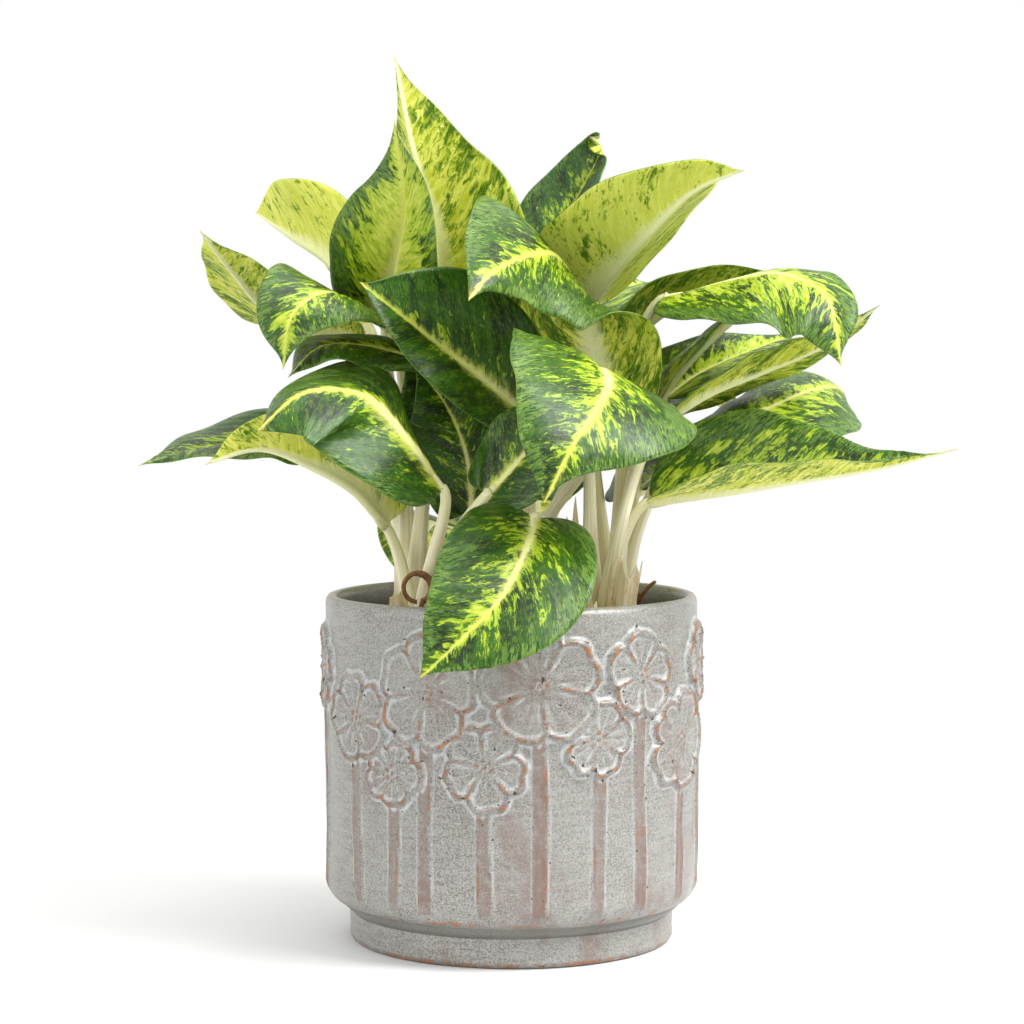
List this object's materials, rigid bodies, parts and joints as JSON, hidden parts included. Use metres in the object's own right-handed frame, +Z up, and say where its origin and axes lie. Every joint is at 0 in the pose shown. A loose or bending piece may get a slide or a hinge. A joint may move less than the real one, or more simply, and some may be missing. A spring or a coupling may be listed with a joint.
{
  "type": "potted aglaonema house plant",
  "caption": "Leafy marbled green house plant on fleshy stalks, standing in a round glazed cover pot with raised blossoms.",
  "frame": {"origin": "centre of the flat foot under the pot", "axes": "+Z up, -Y towards the plant's front, +X to the right seen from the front"},
  "size_m": [0.2985, 0.2281, 0.3311],
  "materials": {
    "glaze": "satin",
    "grow_plastic": "satin",
    "soil": "matte",
    "leaf_blade": "satin",
    "leaf_stalk": "satin",
    "dry_wood": "matte"
  },
  "bodies": {
    "root": {"pot": "glaze", "nursery_pot": "grow_plastic", "soil": "soil", "dry_curl": "dry_wood", "dry_twig": "dry_wood", "shoot_left_front": "leaf_stalk", "shoot_left_back": "leaf_stalk", "shoot_middle": "leaf_stalk", "shoot_right_front": "leaf_stalk", "shoot_right_back": "leaf_stalk", "shoot_back": "leaf_stalk", "leaf_top_spire": "leaf_blade", "leaf_top_left": "leaf_blade", "leaf_pale_left": "leaf_blade", "leaf_far_left": "leaf_blade", "leaf_left_nodding": "leaf_blade", "leaf_left_arched": "leaf_blade", "leaf_left_reaching": "leaf_blade", "leaf_left_low": "leaf_blade", "leaf_centre_dark": "leaf_blade", "leaf_centre_arched": "leaf_blade", "leaf_centre_front": "leaf_blade", "leaf_over_rim": "leaf_blade", "leaf_upper_right": "leaf_blade", "leaf_small_back": "leaf_blade", "leaf_right_pale": "leaf_blade", "leaf_right_nodding": "leaf_blade", "leaf_right_inner": "leaf_blade", "leaf_right_bright": "leaf_blade", "leaf_right_rolled": "leaf_blade", "leaf_right_bowed": "leaf_blade", "leaf_right_low": "leaf_blade", "leaf_inner_left": "leaf_blade", "leaf_inner_dark": "leaf_blade", "leaf_inner_right": "leaf_blade", "leaf_left_under": "leaf_blade", "leaf_right_far_low": "leaf_blade", "leaf_back_right_high": "leaf_blade", "leaf_back_high": "leaf_blade", "leaf_back_left_high": "leaf_blade", "leaf_back_left_low": "leaf_blade", "leaf_back_low": "leaf_blade", "leaf_back_right": "leaf_blade"}
  },
  "joints": []
}
